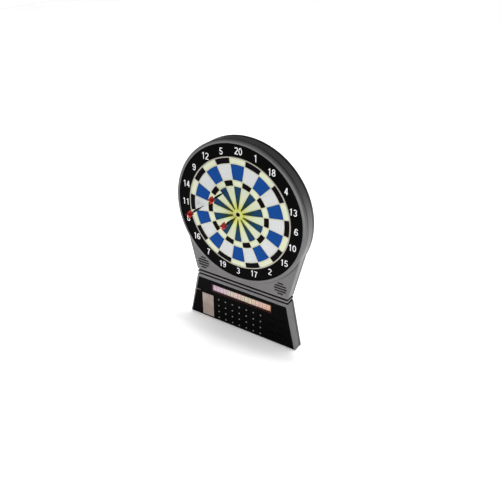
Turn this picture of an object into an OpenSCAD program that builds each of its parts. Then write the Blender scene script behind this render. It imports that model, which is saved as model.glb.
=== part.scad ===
// Free-standing electronic dartboard: round target head on a flared console,
// three soft-tip darts in the target, fold-out rear brace.
// Frame: X right as seen from the front, front faces -Y, +Z up,
// origin at the centre of the resting face. Millimetres.

/* [Cabinet] */
// Outer radius of the round head
head_r = 220; // [215:1:225]
// Height of the bull above the floor
bull_z = 412; // [405:1:420]
// Depth of the cabinet behind the bezel
cab_d = 35; // [34:1:38]
// General wall thickness
wall = 2.5; // [2:0.1:3]
// Half width of the console at the floor
base_hw = 198.5; // [196:0.5:202]
// Half width at the waist seam
waist_hw = 164.3; // [163:0.1:166]

/* [Target] */
// Height of the board face in front of the cabinet face
board_proud = 11.2; // [11:0.1:12]
// Radius of the light target rim
rim_r = 172; // [172:0.5:173]
// Radial clearance between a segment and the spider
seg_gap = 0.35; // [0.3:0.05:0.4]
// Width of a radial spider wall
rib_w = 1.4; // [1.3:0.1:1.6]
// Depth of a scoring segment
seg_d = 9.5; // [9:0.1:9.6]
// Travel of a pressed segment
seg_travel = 1.4; // [1:0.1:1.4]

/* [Console] */
// Width of the score display window
disp_w = 216; // [210:1:220]
// Height of the score display window
disp_h = 23.2; // [20:0.2:25]
// Pitch of the indicator lamps across
lamp_px = 26.2; // [24:0.1:27]
// Pitch of the indicator lamps down
lamp_pz = 22.9; // [20:0.1:23]
// Travel of a key
key_travel = 1.2; // [0.8:0.1:1.2]

/* [Darts] */
// Length that a dart stands out of the board
dart_out = 72; // [70:1:84]
// Width across two wings of a flight
flight_w = 22; // [20:1:30]

/* [Rear brace] */
// How far the brace reaches behind its hinge
brace_reach = 108; // [90:1:120]
// Height of the brace
brace_h = 246; // [200:1:260]

/* [Hidden] */

yf = -cab_d / 2;              // front face of the cabinet
yr = cab_d / 2;               // rear face of the cabinet
yb = yf - board_proud;        // face of the scoring segments
ysp = yb - 0.5;               // face of the spider
ysplit = 8.5;                  // parting plane of the two shells
foot_t = 1.5;                 // the shells start this far above the floor
neck_z = 322;                 // where the neck meets the round head
neck_hw = 200.7;
waist_z1 = 159;               // lower seam groove
waist_z2 = 171.2;              // upper seam groove
groove_w = 5;
groove_d = 8;                 // front and sides; 3 at the back
r_in1 = 17.2;  r_in2 = 85.4;  // inner singles
r_tr1 = 87.5;  r_tr2 = 103.4; // triples
r_ou1 = 105.5; r_ou2 = 150.6; // outer singles
r_do1 = 152.7; r_do2 = 168.2; // doubles
flange = 0.8;                 // how far a segment's flange reaches behind the spider
flange_t = 2;
fas_z0 = 3; fas_z1 = 145.6;   // fascia, bottom and top
fas_m = 7;                    // grey border right of the fascia
fas_l = 3.5;                  // grey border left of it, at the bottom
door_x = -152.6;              // right edge of the storage door
door_z = 99;                  // top edge of the storage door
piv_y = yf + 1; piv_z = 9.1;  // storage door pivot
bat_x = -85; bat_z = 92;      // battery door centre
bat_w = 72; bat_h = 60;
brace_y = yr + 5.5;           // brace hinge axis
case_xz = concat([for (a = [0, 62, -62, 122, -122]) [207 * sin(a), bull_z + 207 * cos(a)]],
    [[150, 165.1], [-150, 165.1], [184, 14], [-140, 10]]);
key_xz = [[112, 84], [112, 57], [112, 30], [144, 84], [144, 57], [144, 30]];

// Half width of the console and neck at a height
function hw(z) = z < waist_z1 ? base_hw + (waist_hw - base_hw) * z / waist_z1
    : z < waist_z2 ? waist_hw
    : waist_hw + (neck_hw - waist_hw) * (z - waist_z2) / (neck_z - waist_z2);

// Left edge of the fascia at a height
function fl(z) = -hw(z) + fas_l + (fas_m - fas_l) * (z - fas_z0) / (fas_z1 - fas_z0);

// Extrudes a flat X-Z shape from depth y0 back to depth y1
module slab(y0, y1) translate([0, y1, 0]) rotate([90, 0, 0]) linear_extrude(y1 - y0) children();
// The same, about the bull
module disc_slab(y0, y1) translate([0, 0, bull_z]) slab(y0, y1) children();
// Revolves an [r, y] profile about the bull's axis
module turned(pts) translate([0, 0, bull_z]) rotate([90, 0, 0])
    rotate_extrude($fn = 240) polygon([for (p = pts) [p[0], -p[1]]]);
module rod_y(x, z, r, y0, y1) translate([x, y1, z]) rotate([90, 0, 0]) cylinder(r = r, h = y1 - y0, $fn = 48);

module outline(i = 0) {
    translate([0, bull_z]) circle(r = head_r - i, $fn = 240);
    polygon([[-hw(foot_t) + i, foot_t + i], [hw(foot_t) - i, foot_t + i],
        [hw(waist_z1) - i, waist_z1], [hw(waist_z2) - i, waist_z2], [neck_hw - i, neck_z],
        [-neck_hw + i, neck_z], [-hw(waist_z2) + i, waist_z2], [-hw(waist_z1) + i, waist_z1]]);
}
// A band of the console between two heights, inset from its sides
module band(z0, z1, i) polygon([[-hw(z0) + i, z0], [hw(z0) - i, z0], [hw(z1) - i, z1], [-hw(z1) + i, z1]]);

// Outline of the fascia
module fascia2d(i) polygon([[fl(fas_z0) + i, fas_z0], [hw(fas_z0) - fas_m - i, fas_z0], [hw(fas_z1) - fas_m - i, fas_z1], [fl(fas_z1) + i, fas_z1]]);

// Hollow of the shells, with a solid belt left at the waist seam
module cavity(y0, y1) {
    difference() {
        slab(y0, y1) outline(wall);
        translate([-250, y0 - 1, 151]) cube([500, y1 - y0 + 2, 28]);
    }
    translate([-120, max(y0, yf + 11), 150]) cube([240, min(y1, yr - 6) - max(y0, yf + 11), 30]);
}
// Two grooves right round the waist
module waist_grooves() for (z = [waist_z1, waist_z2]) difference() {
    translate([-250, -40, z - groove_w / 2]) cube([500, 80, groove_w]);
    translate([-waist_hw + groove_d, yf + groove_d, z - groove_w]) cube([2 * (waist_hw - groove_d), cab_d - groove_d - 3, 2 * groove_w]);
}
module grille(x, z) for (i = [-2:2]) {
    h = 3.8; w = 2 * sqrt(21.8 * 21.8 - pow(abs(i) * 8.8 + 1.9, 2));
    translate([x - w / 2, yf - 1, z + i * 8.8 - h / 2]) cube([w, wall + 2, h]);
}
module tray2d(i) polygon([[-hw(13) + 12 + i, 13 + i], [-155 - i, 13 + i], [-155 - i, 95 - i], [-hw(95) + 12 + i, 95 - i]]);

module front_cabinet() color([0.42, 0.43, 0.45]) difference() {
    union() {
        difference() {
            slab(yf, ysplit) outline();
            cavity(yf + wall, ysplit + 1);
        }
        // thick front of the console
        difference() {
            slab(yf + 2, yf + 4) band(4, 151, wall);
            translate([-150, yf, 12]) cube([130, 8, 126]);
        }
        for (p = case_xz) if (p[1] > 175 || p[1] < 150) rod_y(p[0], p[1], 4.5, yf + 2, ysplit);
    }
    translate([0, 0, bull_z]) rotate([90, 0, 0]) translate([0, 0, 10]) cylinder(r = 182, h = 12, $fn = 240);
    // seat of the fascia, its windows and the storage pocket's mouth
    slab(yf - 1, yf + 2) fascia2d(-0.2);
    slab(yf - 1, yf + 6) polygon([[-149, 10], [hw(10) - 13, 10], [hw(138) - 13, 138], [-149, 138]]);
    slab(yf - 1, yf + 6) tray2d(1.5);
    translate([-hw(8) + 3.5, piv_y, piv_z]) rotate([0, 90, 0]) cylinder(r = 2.1, h = hw(8) - 3.5 + door_x + 0.2, $fn = 48);
    translate([-195.2, piv_y, piv_z]) rotate([0, 90, 0]) cylinder(r = 0.75, h = 40, $fn = 32);
    for (s = [-1, 1]) grille(139 * s, 204);
    waist_grooves();
    for (p = case_xz) rod_y(p[0], p[1], 1.55, -9, ysplit + 1);
    for (k = [0:7]) rod_y(190 * sin(22.5 + 45 * k), bull_z + 190 * cos(22.5 + 45 * k), 1.6, yf - 1, yf + 3);
}

module rear_cabinet() color([0.30, 0.31, 0.33]) difference() {
    union() {
        difference() {
            slab(ysplit, yr) outline();
            cavity(ysplit - 1, yr - wall);
        }
        for (p = case_xz) rod_y(p[0], p[1], 6.4, ysplit, yr - 1);
        // hinge ears of the brace
        for (z = [46, 214]) difference() {
            union() {
                translate([0, brace_y, z]) cylinder(r = 5, h = 14, $fn = 48);
                translate([-5, yr - 1, z]) cube([10, brace_y - yr + 1, 14]);
            }
            translate([0, brace_y, z - 1]) cylinder(r = 2, h = 16, $fn = 48);
        }
    }
    waist_grooves();
    for (p = case_xz) { rod_y(p[0], p[1], 1.7, ysplit - 1, yr); rod_y(p[0], p[1], 4.1, yr - 4, yr + 1); }
    // wall-hanging keyholes
    for (s = [-1, 1]) {
        rod_y(110 * s, 520, 5, yr - 4, yr + 1);
        translate([110 * s - 2.5, yr - 4, 520]) cube([5, 6, 12]);
        rod_y(110 * s, 532, 2.5, yr - 4, yr + 1);
    }
    // battery door
    translate([bat_x - bat_w / 2 - 0.3, yr - 4, bat_z - bat_h / 2 - 0.3]) cube([bat_w + 0.6, 6, bat_h + 0.6]);
    translate([bat_x - bat_w / 2 - 2, yr - 1.1, bat_z - bat_h / 2 + 1.1]) rotate([0, 90, 0]) cylinder(r = 0.75, h = bat_w + 4, $fn = 32);
    // switch slot and socket hole
    translate([140 - 2.6, yr - 4, 92]) cube([5.2, 6, 12]);
    rod_y(140, 62, 4.2, yr - 4, yr + 1);
}

module bezel_ring() color([0.40, 0.41, 0.43]) turned([[206, yf], [206, yb + 2.7], [210, yb + 2.7], [210, yb - 1],
    [214.8, yb - 1], [217.2, yb - 0.3], [218.9, yb + 1.1], [219.8, yb + 2.9], [head_r, yb + 5], [head_r, yf - 2.8], [216, yf - 2.4], [216, yf]]);

module number_ring() color([0.03, 0.03, 0.04]) turned([[rim_r + 0.3, yb + 0.5], [209.8, yb + 0.5], [209.8, yb + 2.7], [rim_r + 0.3, yb + 2.7]]);

function arc_pts(r, a0, a1, n) = [for (i = [0:n]) let (a = a0 + (a1 - a0) * i / n) [r * sin(a), r * cos(a)]];
// Corner points of a segment: radii, centre angle, gap beside the dividing lines
function seg_pts(r0, r1, ac, g) = let (h0 = 9 - asin(g / r0), h1 = 9 - asin(g / r1))
    concat(arc_pts(r0, ac - h0, ac + h0, 6), arc_pts(r1, ac + h1, ac - h1, 10));

module segment(r0, r1, ac) {
    g = rib_w / 2 + seg_gap;
    w = r0 < 30 ? 1.1 : 1.6;
    difference() {
        union() {
            disc_slab(yb, yb + seg_d) polygon(seg_pts(r0, r1, ac, g));
            disc_slab(yb + seg_d - flange_t, yb + seg_d) polygon(seg_pts(r0 - (r0 < 30 ? 0.3 : flange), r1 + flange, ac, g - (r0 < 30 ? 0.5 : 0.7)));
        }
        // hollow behind the 3 mm face
        disc_slab(yb + 3, yb + seg_d + 1) polygon(seg_pts(r0 < 30 ? r0 + 12 : r0 + w, r1 - w, ac, g + w));
    }
}
// Every second segment of a ring
module ring_segments(r0, r1, first) for (k = [0:9]) segment(r0, r1, (2 * k + first) * 18);

module spider_grid() color([0.93, 0.92, 0.74]) {
    difference() {
        union() {
            disc_slab(ysp, yb + seg_d - flange_t - 0.4) difference() {
                circle(r = rim_r, $fn = 240);
                circle(r = 15, $fn = 96);
                for (k = [0:19]) {
                    polygon(seg_pts(r_in1 - seg_gap, r_in2 + seg_gap, k * 18, rib_w / 2));
                    polygon(seg_pts(r_tr1 - seg_gap, r_tr2 + seg_gap, k * 18, rib_w / 2));
                    polygon(seg_pts(r_ou1 - seg_gap, r_ou2 + seg_gap, k * 18, rib_w / 2));
                    polygon(seg_pts(r_do1 - seg_gap, r_do2 + seg_gap, k * 18, rib_w / 2));
                }
            }
            turned([[169.4, yb + 6], [rim_r, yb + 6], [rim_r, yb + 2.7], [176, yb + 2.7], [176, yf - 2.5], [200, yf - 2.5], [200, yf], [169.4, yf]]);
        }
        for (k = [0:7]) rod_y(190 * sin(22.5 + 45 * k), bull_z + 190 * cos(22.5 + 45 * k), 1.6, yf - 4, yf + 1);
        // relief for the outer flanges
        turned([[160, yb + seg_d - flange_t - 0.4], [169.4, yb + seg_d - flange_t - 0.4], [169.4, yf + 1], [160, yf + 1]]);
    }
}
// hole left by a dart's point
module dart_hole(i) rod_y(dart_xz[i][0], bull_z + dart_xz[i][1], 1.3, yb - 1, yb + 8);
dart_xz = [[-44.8, 59.2], [-123.2, -4.8], [-5.4, -9.8]];

module double_black() color([0.03, 0.02, 0.06]) ring_segments(r_do1, r_do2, 1);
module double_cream() color([0.93, 0.92, 0.72]) ring_segments(r_do1, r_do2, 0);
module outer_single_blue() color([0.08, 0.31, 0.65]) ring_segments(r_ou1, r_ou2, 0);
module outer_single_white() color([0.85, 0.85, 0.87]) difference() { ring_segments(r_ou1, r_ou2, 1); dart_hole(1); }
module triple_black() color([0.03, 0.02, 0.04]) ring_segments(r_tr1, r_tr2, 1);
module triple_cream() color([0.85, 0.93, 0.78]) ring_segments(r_tr1, r_tr2, 0);
module inner_single_blue() color([0.08, 0.36, 0.58]) difference() { ring_segments(r_in1, r_in2, 0); dart_hole(0); }
module inner_single_white() color([0.88, 0.89, 0.84]) ring_segments(r_in1, r_in2, 1);
module outer_bull() color([0.88, 0.90, 0.35]) difference() {
    turned([[7, yb], [14.6, yb], [14.6, yb + seg_d - 2], [15.4, yb + seg_d - 2], [15.4, yb + seg_d], [13.2, yb + seg_d],
        [13.2, yb + 3], [9.4, yb + 3], [9.4, yb + seg_d], [8, yb + seg_d], [8, yb + 5.4], [7, yb + 5.4]]);
    dart_hole(2);
}
module inner_bull() color([0.05, 0.05, 0.06]) turned([[0, yb], [6.6, yb], [6.6, yb + seg_d - 2], [7.6, yb + seg_d - 2], [7.6, yb + seg_d], [0, yb + seg_d]]);

module rubber_mat() color([0.12, 0.12, 0.12]) turned([[0, yf], [180, yf], [180, yf + 1.9], [0, yf + 1.9]]);
module sensor_matrix() color([0.55, 0.65, 0.55]) {
    turned([[0, yf + 1.9], [180, yf + 1.9], [180, yf + 2.5], [0, yf + 2.5]]);
    // tail running down to the circuit board
    translate([-20, yf + 2.2, 233.6]) cube([40, 10, 0.4]);
    translate([-20, yf + 11.8, 134.6]) cube([40, 0.4, 99.4]);
}
module backing_board() color([0.45, 0.38, 0.28]) difference() {
    disc_slab(yf + 2.5, yf + 6.5) circle(r = 195, $fn = 240);
    translate([-22, yf, 210]) cube([44, 10, 26]);
    for (k = [0:7]) rod_y(190 * sin(22.5 + 45 * k), bull_z + 190 * cos(22.5 + 45 * k), 1.6, yf, yf + 8);
}
module target_screws() color([0.5, 0.5, 0.52]) for (k = [0:7]) translate([190 * sin(22.5 + 45 * k), 0, bull_z + 190 * cos(22.5 + 45 * k)]) {
    rod_y(0, 0, 3, yf - 4.5, yf - 2.5);
    rod_y(0, 0, 1.5, yf - 3, yf + 6);
}

module console_fascia() color([0.02, 0.02, 0.02]) difference() {
    slab(yf - 0.2, yf + 2) difference() {
        fascia2d(0);
        polygon([[-210, 6.6], [door_x, 6.6], [door_x, door_z + 0.4], [-210, door_z + 0.4]]);
    }
    translate([-disp_w / 2 - 0.1, yf - 2, 120.4 - disp_h / 2 - 0.1]) cube([disp_w + 0.2, 6, disp_h + 0.2]);
    for (i = [0:6], j = [0:3]) rod_y(-84.8 + i * lamp_px, 82.4 - j * lamp_pz, 2.6, yf - 2, yf + 4);
    for (k = key_xz) translate([k[0] - 10.3, yf - 2, k[1] - 5.3]) cube([20.6, 6, 10.6]);
    translate([door_x - 10, piv_y, piv_z]) rotate([0, 90, 0]) cylinder(r = 0.75, h = 14, $fn = 32);
}
module display_lens() color([0.55, 0.20, 0.18, 0.8]) translate([-disp_w / 2, yf - 0.1, 120.4 - disp_h / 2]) cube([disp_w, 1.6, disp_h]);
module display_module() color([0.85, 0.80, 0.76]) {
    translate([-110, yf + 4, 107]) cube([220, 4, 27]);
    for (i = [0:15]) translate([-105.8 + i * 13.2, yf + 1.7, 110.6]) cube([12.4, 2.5, 19.6]);
}
module game_card() color([0.72, 0.66, 0.60]) translate([-149, yf - 0.8, 7.2]) cube([43.4, 0.6, 82.4]);
module cricket_lamps() color([0.9, 0.9, 0.88]) for (i = [0:6], j = [0:3]) translate([-84.8 + i * lamp_px, 0, 82.4 - j * lamp_pz]) {
    rod_y(0, 0, 2.5, yf - 0.6, yf + 8.4);
    rod_y(0, 0, 2.0, yf - 1.3, yf);
}
module key(i) color([0.05, 0.05, 0.05]) translate([key_xz[i][0], 0, key_xz[i][1]]) {
    translate([-10, yf - 1.6, -5]) cube([20, 6.6, 10]);
    translate([-11.5, yf + 2.3, -6.5]) cube([23, 1.2, 13]);
}
module key_start() key(0);
module key_game() key(1);
module key_option() key(2);
module key_player() key(3);
module key_hold() key(4);
module key_sound() key(5);
module key_mat() color([0.35, 0.35, 0.36]) {
    translate([94, yf + 7.4, 18]) cube([66, 1, 78]);
    for (k = key_xz) rod_y(k[0], k[1], 4, yf + 6.3, yf + 8);
}
module main_pcb() color([0.05, 0.35, 0.15]) {
    translate([-98, yf + 8.4, 8]) cube([258, 1.6, 132]);
    translate([-22, yf + 10, 134.8]) cube([44, 1.6, 4.4]);
    translate([30, yf + 10, 60]) cube([28, 2.4, 28]);
    translate([-60, yf + 10, 20]) cube([18, 2, 12]);
}
module speaker(x) color([0.15, 0.15, 0.16]) translate([x, 0, 204]) rotate([90, 0, 0]) rotate_extrude($fn = 96)
    polygon([[0, 1], [10, 1], [10, 8], [17.5, 12], [22, 12.6], [22, 14.9], [18, 14.9], [8, 9.5], [0, 9.5]]);
module speaker_left() speaker(-139);
module speaker_right() speaker(139);

module storage_door() color([0.03, 0.03, 0.03]) difference() {
    union() {
        slab(yf - 0.2, yf + 2) polygon([[fl(door_z) + 0.3, door_z], [door_x - 0.4, door_z],
            [door_x - 0.4, piv_z], [fl(piv_z) + 0.3, piv_z]]);
        translate([fl(piv_z) + 0.3, piv_y, piv_z]) rotate([0, 90, 0]) cylinder(r = 1.7, h = door_x - 0.7 - fl(piv_z), $fn = 48);
        // finger lip
        slab(yf - 4.2, yf) polygon([[fl(door_z) + 0.3, door_z], [door_x - 0.4, door_z],
            [door_x - 0.4, door_z - 2.6], [fl(door_z - 2.6) + 0.3, door_z - 2.6]]);
    }
    translate([-200, piv_y, piv_z]) rotate([0, 90, 0]) cylinder(r = 0.75, h = 60, $fn = 32);
}
module storage_hinge_pin() color([0.6, 0.6, 0.62]) translate([-194.9, piv_y, piv_z]) rotate([0, 90, 0]) cylinder(r = 0.7, h = 44.9, $fn = 32);
module storage_tray() color([0.10, 0.10, 0.11]) difference() {
    slab(yf + 4, yr - wall - 1) tray2d(-0.3);
    slab(yf + 3, yr - wall - 2.5) tray2d(1.5);
}

module battery_tray() color([0.12, 0.12, 0.13]) difference() {
    translate([bat_x - bat_w / 2 - 3, yr - wall - 17, bat_z - bat_h / 2 - 3]) cube([bat_w + 6, 17, bat_h + 6]);
    translate([bat_x - 33, yr - wall - 15.3, bat_z - 27]) cube([66, 18, 54]);
}
module batteries() color([0.20, 0.22, 0.25]) for (i = [0:3]) translate([bat_x - 24 + i * 16, yr - wall - 7.9, bat_z]) {
    cylinder(r = 7.1, h = 49, center = true, $fn = 64);
    translate([0, 0, i % 2 == 0 ? 24.4 : -25.6]) cylinder(r = 2.7, h = 1.2, $fn = 32);
}
module battery_contacts() color([0.75, 0.75, 0.75]) for (i = [0:3], s = [-1, 1])
    translate([bat_x - 24 + i * 16 - 5, yr - wall - 13, bat_z + s * 26.35 - 0.4]) cube([10, 10, 0.8]);
module battery_door() color([0.26, 0.27, 0.29]) {
    translate([bat_x - bat_w / 2, yr - 2.2, bat_z - bat_h / 2 + 1.1]) cube([bat_w, 2.2, bat_h - 1.1]);
    // rounded lower edge and the two stubs it turns on
    translate([bat_x - bat_w / 2, yr - 1.1, bat_z - bat_h / 2 + 1.1]) rotate([0, 90, 0]) cylinder(r = 1.1, h = bat_w, $fn = 48);
    translate([bat_x - bat_w / 2 - 1.6, yr - 1.1, bat_z - bat_h / 2 + 1.1]) rotate([0, 90, 0]) cylinder(r = 0.7, h = bat_w + 3.2, $fn = 32);
    for (i = [-2:2]) translate([bat_x + i * 4 - 0.8, yr - 1, bat_z + 18]) cube([1.6, 1.6, 8]);
}
module switch_body() color([0.08, 0.08, 0.08]) difference() {
    translate([132, yr - wall - 7, 88]) cube([16, 7, 20]);
    translate([137.3, yr - wall - 4, 91.8]) cube([5.4, 6, 12.4]);
}
module power_switch() color([0.75, 0.12, 0.1]) translate([137.8, yr - wall - 3.6, 92.6]) cube([4.4, wall + 5.2, 6.6]);
module dc_jack() color([0.06, 0.06, 0.06]) {
    difference() {
        union() {
            translate([134.5, yr - wall - 12, 56.5]) cube([11, 12, 11]);
            rod_y(140, 62, 4, yr - wall - 1, yr);
        }
        rod_y(140, 62, 2.8, yr - wall - 9.5, yr + 1);
    }
    rod_y(140, 62, 1, yr - wall - 10.5, yr - 2);
}
module case_screws() color([0.5, 0.5, 0.52]) for (p = case_xz) difference() {
    union() {
        rod_y(p[0], p[1], 3.6, yr - 4, yr - 1.6);
        rod_y(p[0], p[1], 1.5, -8, yr - 3);
    }
    translate([p[0] - 2, yr - 2.6, p[1] - 0.4]) cube([4, 2, 0.8]);
    translate([p[0] - 0.4, yr - 2.6, p[1] - 2]) cube([0.8, 2, 4]);
}
module rubber_feet() color([0.06, 0.06, 0.06]) for (x = [-155, 0, 155]) translate([x - 30, -15, 0]) cube([60, 28, foot_t]);

module brace_wing() color([0.16, 0.16, 0.17]) difference() {
    union() {
        translate([0, brace_y, 60.4]) cylinder(r = 5, h = 153.2, $fn = 48);
        translate([-2.5, 0, 0]) rotate([90, 0, 90]) linear_extrude(5) polygon([[brace_y, 60.4], [brace_y + 6, 60.4], [brace_y + 6, 16],
            [brace_y + 34, 9], [brace_y + brace_reach - 34, 1.5], [brace_y + brace_reach, 1.5], [brace_y + brace_reach, 12],
            [brace_y + 14, 213.6], [brace_y, 213.6]]);
    }
    translate([0, brace_y, 50]) cylinder(r = 2.05, h = 180, $fn = 48);
    // lightening window
    translate([-5, 0, 0]) rotate([90, 0, 90]) linear_extrude(10) polygon([[brace_y + 16, 50], [brace_y + 60, 32], [brace_y + 66, 44], [brace_y + 16, 138]]);
}
module brace_hinge_pin() color([0.6, 0.6, 0.62]) translate([0, brace_y, 43]) { cylinder(r = 2, h = 189, $fn = 48); translate([0, 0, 185.6]) cylinder(r = 3.4, h = 2.4, $fn = 48); }
module brace_pad() color([0.06, 0.06, 0.06]) translate([-4, brace_y + brace_reach - 34, 0]) cube([8, 34, 1.5]);

// A dart's parts along -Y, its point at [x, z] in the board face
module dart_at(i) translate([dart_xz[i][0], yb, bull_z + dart_xz[i][1]]) rotate([90, 0, 0]) children();
module dart_tip(i) color([0.9, 0.9, 0.88]) dart_at(i) rotate_extrude($fn = 48) polygon([[0, -7], [0.5, -6.6], [1.2, -4], [1.2, 10], [2.2, 15], [2.2, 20], [0, 20]]);
module dart_barrel(i) color([0.04, 0.04, 0.05]) dart_at(i) rotate_extrude($fn = 48) polygon(concat([[0, 20], [2.4, 20], [3.1, 22]],
    [for (k = [0:5]) each [[3.1, 24 + 3 * k], [2.8, 24.5 + 3 * k], [2.8, 25.5 + 3 * k], [3.1, 26 + 3 * k]]],
    [[3.1, 42], [2.2, 45], [1.9, 47], [1.9, dart_out - 19.4], [2.3, dart_out - 18.4], [0, dart_out - 18.4]]));
module dart_flight(i) color([0.8, 0.12, 0.08]) dart_at(i) for (a = [0, 90]) rotate([90, 0, a]) translate([0, 0, -0.4]) linear_extrude(0.8)
    polygon([[-2, dart_out - 18.4], [-flight_w / 2 + 3, dart_out - 13.5], [-flight_w / 2, dart_out - 9], [-flight_w / 2 + 1, dart_out], [flight_w / 2 - 1, dart_out],
        [flight_w / 2, dart_out - 9], [flight_w / 2 - 3, dart_out - 13.5], [2, dart_out - 18.4]]);
module dart1_tip() dart_tip(0);
module dart1_barrel() dart_barrel(0);
module dart1_flight() dart_flight(0);
module dart2_tip() dart_tip(1);
module dart2_barrel() dart_barrel(1);
module dart2_flight() dart_flight(1);
module dart3_tip() dart_tip(2);
module dart3_barrel() dart_barrel(2);
module dart3_flight() dart_flight(2);

front_cabinet();
rear_cabinet();
bezel_ring();
number_ring();
spider_grid();
double_black();
double_cream();
outer_single_blue();
outer_single_white();
triple_black();
triple_cream();
inner_single_blue();
inner_single_white();
outer_bull();
inner_bull();
rubber_mat();
sensor_matrix();
backing_board();
console_fascia();
display_lens();
display_module();
game_card();
cricket_lamps();
key_start();
key_game();
key_option();
key_player();
key_hold();
key_sound();
key_mat();
main_pcb();
speaker_left();
speaker_right();
storage_door();
storage_hinge_pin();
storage_tray();
battery_tray();
batteries();
battery_contacts();
battery_door();
switch_body();
power_switch();
dc_jack();
case_screws();
target_screws();
rubber_feet();
brace_wing();
brace_hinge_pin();
brace_pad();
dart1_tip();
dart1_barrel();
dart1_flight();
dart2_tip();
dart2_barrel();
dart2_flight();
dart3_tip();
dart3_barrel();
dart3_flight();
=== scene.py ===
import math
import random

import bmesh
import bpy
from mathutils import Matrix, Vector, geometry


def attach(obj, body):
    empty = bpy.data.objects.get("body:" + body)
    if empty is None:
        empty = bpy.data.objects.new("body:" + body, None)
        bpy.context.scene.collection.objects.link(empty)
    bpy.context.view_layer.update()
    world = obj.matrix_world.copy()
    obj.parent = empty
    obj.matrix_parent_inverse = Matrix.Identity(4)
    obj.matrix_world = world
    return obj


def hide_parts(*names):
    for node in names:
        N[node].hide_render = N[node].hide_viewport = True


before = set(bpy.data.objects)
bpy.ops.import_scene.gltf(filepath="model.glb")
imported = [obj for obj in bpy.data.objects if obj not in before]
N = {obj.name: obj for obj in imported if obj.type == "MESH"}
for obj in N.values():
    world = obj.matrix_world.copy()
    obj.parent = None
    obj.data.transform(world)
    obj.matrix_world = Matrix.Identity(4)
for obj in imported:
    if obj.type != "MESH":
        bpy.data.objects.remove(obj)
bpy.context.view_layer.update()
random.seed(7)

# ---------------------------------------------------------------- dimensions, millimetres, as in the CAD source
BULL = 412.0
YF, YR = -17.5, 17.5
YB = YF - 11.2
YSP = YB - 0.5
RIM = 172.0
GAP = 0.35
RIB = 1.4
SEG_D = 9.5
RINGS = {"inner": (17.2, 85.4), "triple": (87.5, 103.4), "outer": (105.5, 150.6), "double": (152.7, 168.2)}
ORDER = [20, 1, 18, 4, 13, 6, 10, 15, 2, 17, 3, 19, 7, 16, 8, 11, 14, 9, 12, 5]
DARTS = [(-44.8, 59.2), (-123.2, -4.8), (-5.4, -9.8)]
DART_OUT, FLIGHT_W = 72.0, 22.0
YSPLIT = 8.5
Z1, Z2 = 159.0, 171.2


def P(x, y, z):
    return (x * 0.001, y * 0.001, z * 0.001)


def board(u, v, y):
    """A point on the board: u right and v up from the bull, y in the frame."""
    return P(u, y, BULL + v)


# ---------------------------------------------------------------- camera and light
cam = bpy.data.objects.new("camera", bpy.data.cameras.new("camera"))
bpy.context.scene.collection.objects.link(cam)
cam.data.sensor_width = 36.0
cam.data.lens = 43.423
cam.data.clip_start, cam.data.clip_end = 0.05, 50
cam.location = (0.86438, -1.30172, 1.17611)
cam.rotation_mode = "QUATERNION"
cam.rotation_quaternion = Vector((-0.47143, 0.72902, -0.49628)).to_track_quat("-Z", "Y")
bpy.context.scene.camera = cam

world = bpy.data.worlds.new("studio")
bpy.context.scene.world = world
world.use_nodes = True
world.node_tree.nodes["Background"].inputs["Color"].default_value = (1.0, 1.0, 1.0, 1)
world.node_tree.nodes["Background"].inputs["Strength"].default_value = 0.09
# the backdrop is seen as plain white, but lights the object only softly
seen = world.node_tree.nodes.new("ShaderNodeBackground")
seen.inputs["Color"].default_value = (1.0, 1.0, 1.0, 1)
seen.inputs["Strength"].default_value = 1.0
ray = world.node_tree.nodes.new("ShaderNodeLightPath")
pick = world.node_tree.nodes.new("ShaderNodeMixShader")
world.node_tree.links.new(ray.outputs["Is Camera Ray"], pick.inputs[0])
world.node_tree.links.new(world.node_tree.nodes["Background"].outputs[0], pick.inputs[1])
world.node_tree.links.new(seen.outputs[0], pick.inputs[2])
world.node_tree.links.new(pick.outputs[0], world.node_tree.nodes["World Output"].inputs["Surface"])
bpy.context.scene.view_settings.view_transform = "Standard"

# the floor, and two small groups that let a lamp light the floor alone or the object alone
floor = bpy.data.objects.new("floor", bpy.data.meshes.new("floor"))
floor.data.from_pydata([(-6.5, -6.5, 0), (6.5, -6.5, 0), (6.5, 6.5, 0), (-6.5, 6.5, 0)], [], [(0, 1, 2, 3)])
bpy.context.scene.collection.objects.link(floor)
only_floor = bpy.data.collections.new("only_floor")
only_floor.objects.link(floor)
no_floor = bpy.data.collections.new("no_floor")
no_floor.objects.link(floor)
no_floor.collection_objects[0].light_linking.link_state = "EXCLUDE"


def area(name, loc, target, size, power, lit=None, size_y=None, color=(1, 1, 1)):
    d = bpy.data.lights.new(name, "AREA")
    d.energy, d.size, d.color = power, size, color
    if size_y:
        d.shape, d.size_y = "RECTANGLE", size_y
    o = bpy.data.objects.new(name, d)
    o.location = loc
    o.rotation_mode = "QUATERNION"
    o.rotation_quaternion = (Vector(target) - Vector(loc)).to_track_quat("-Z", "Y")
    bpy.context.scene.collection.objects.link(o)
    if lit:
        o.light_linking.receiver_collection = lit
    return o


area("floor_wash", (-0.5, 2.5, 6.0), (-0.5, 2.5, 0), 20.0, 1860, only_floor)
area("floor_key", (0.05, 0.40, 3.2), (0.05, -0.1, 0.0), 0.5, 64, only_floor)
area("front_panel", (0.48, -1.5, 0.12), (0, 0, 0.30), 0.9, 21.5, no_floor)
area("side_panel", (2.6, -0.5, 0.25), (0, 0, 0.30), 1.3, 1, no_floor)
area("top_edge", (-0.2, 0.2, 2.4), (0, 0, 0.4), 0.8, 5.5, no_floor)


# ---------------------------------------------------------------- material helpers
def srgb(r, g, b):
    return tuple((c / 12.92 if c <= 0.04045 else ((c + 0.055) / 1.055) ** 2.4) for c in (r / 255, g / 255, b / 255)) + (1.0,)


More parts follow.
